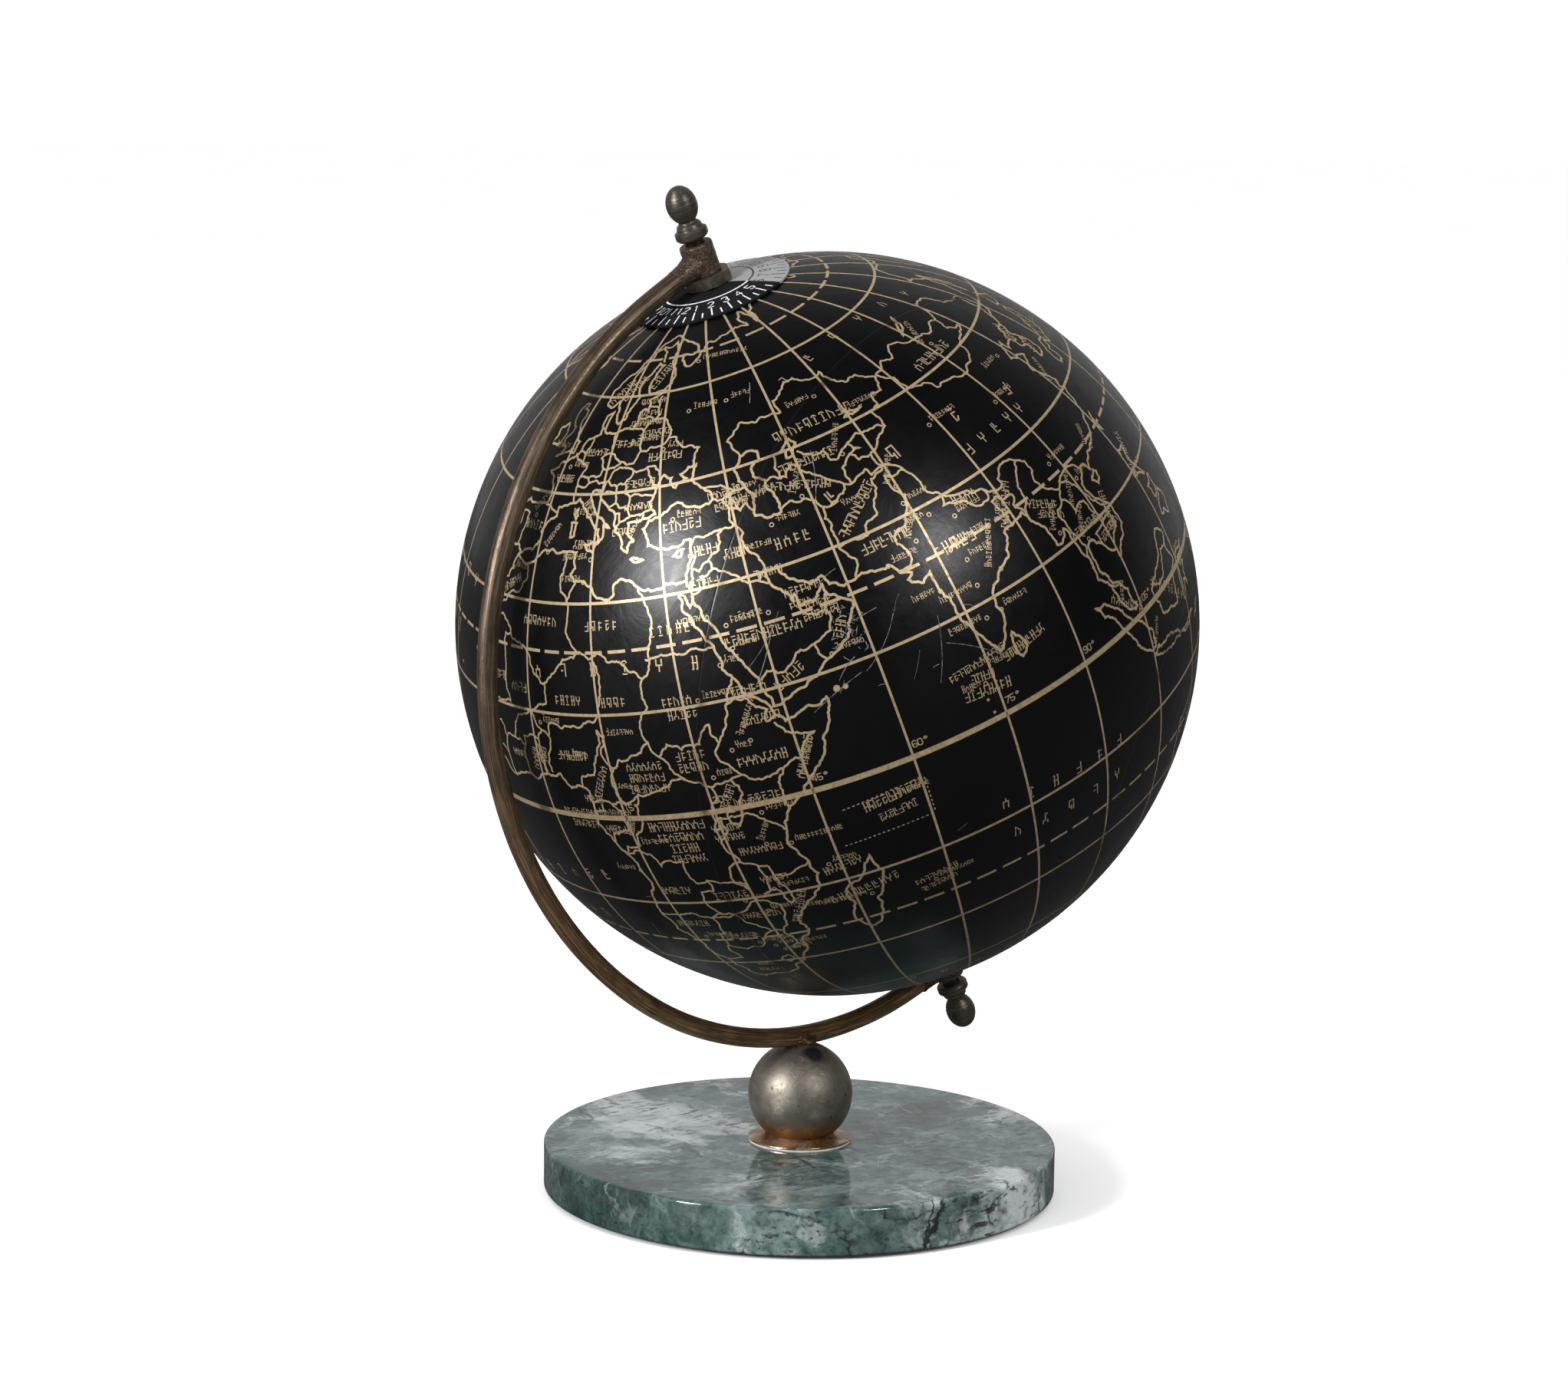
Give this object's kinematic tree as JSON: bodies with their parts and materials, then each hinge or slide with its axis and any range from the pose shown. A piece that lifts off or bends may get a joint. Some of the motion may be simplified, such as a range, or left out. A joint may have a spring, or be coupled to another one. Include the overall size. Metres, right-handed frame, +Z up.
{
  "type": "desktop globe on stand",
  "caption": "Desk globe that spins on a tilted axis in a curved metal arm, with an hour dial at the pole, a ball pedestal and a round marble base.",
  "frame": {"origin": "centre of the felt pad's underside, where the globe rests on a table", "axes": "+Z up; the arm lies in the XZ plane, with the south pole leaning out towards +X and the arm's back towards -X; Y is square to the arm"},
  "size_m": [0.2116, 0.2, 0.2728],
  "materials": {
    "felt": "matte green felt",
    "marble": "polished green marble with white clouds and dark cracks",
    "zinc_steel": "zinc plated",
    "spring_steel": "blackened spring steel",
    "gasket": "pale soft plastic",
    "copper_plate": "worn copper-coloured brass, pale pink where it is rubbed",
    "worn_nickel": "satin nickel plate with pits, tarnish and bare brass low down",
    "braze": "rough oxidised braze metal",
    "bronzed_steel": "brown antiqued plate, streaked along the bar",
    "dark_steel": "dark oiled thread",
    "finial_metal": "turned and tarnished nickel on brass",
    "nut_metal": "dull plated brass",
    "nylon": "off-white nylon",
    "dial_plate": "printed metal, half black and half silver",
    "globe_print": "black satin lacquered print with gold foil lines",
    "board": "plain board",
    "bush_brass": "plain turned brass"
  },
  "bodies": {
    "stand": {"felt_pad": "felt", "marble_base": "marble", "base_stud": "zinc_steel", "base_washer": "zinc_steel", "lock_washer": "spring_steel", "base_nut": "zinc_steel", "flange_gasket": "gasket", "ball_collar": "copper_plate", "pedestal_ball": "worn_nickel", "arm_weld": "braze", "meridian_arm": "bronzed_steel", "top_barrel": "bronzed_steel", "bottom_barrel": "bronzed_steel", "top_braze": "braze", "bottom_braze": "braze", "top_pin": "dark_steel", "bottom_pin": "dark_steel", "top_finial": "finial_metal", "bottom_finial": "finial_metal", "top_hex_nut": "nut_metal", "bottom_hex_nut": "nut_metal", "thrust_washer": "nylon"},
    "globe": {"north_hemisphere": "globe_print", "south_hemisphere": "globe_print", "equator_ring": "board", "north_bush": "bush_brass", "south_bush": "bush_brass"},
    "dial": {"hour_dial": "dial_plate"}
  },
  "joints": [
    {"name": "globe_spin", "type": "hinge", "parent": "stand", "child": "globe", "pos_m": [0.00645, 0, 0.15547], "axis": [-0.4067, 0, 0.9135], "continuous": true},
    {"name": "dial_turn", "type": "hinge", "parent": "stand", "child": "dial", "pos_m": [-0.03443, 0, 0.24728], "axis": [-0.4067, 0, 0.9135], "continuous": true}
  ]
}
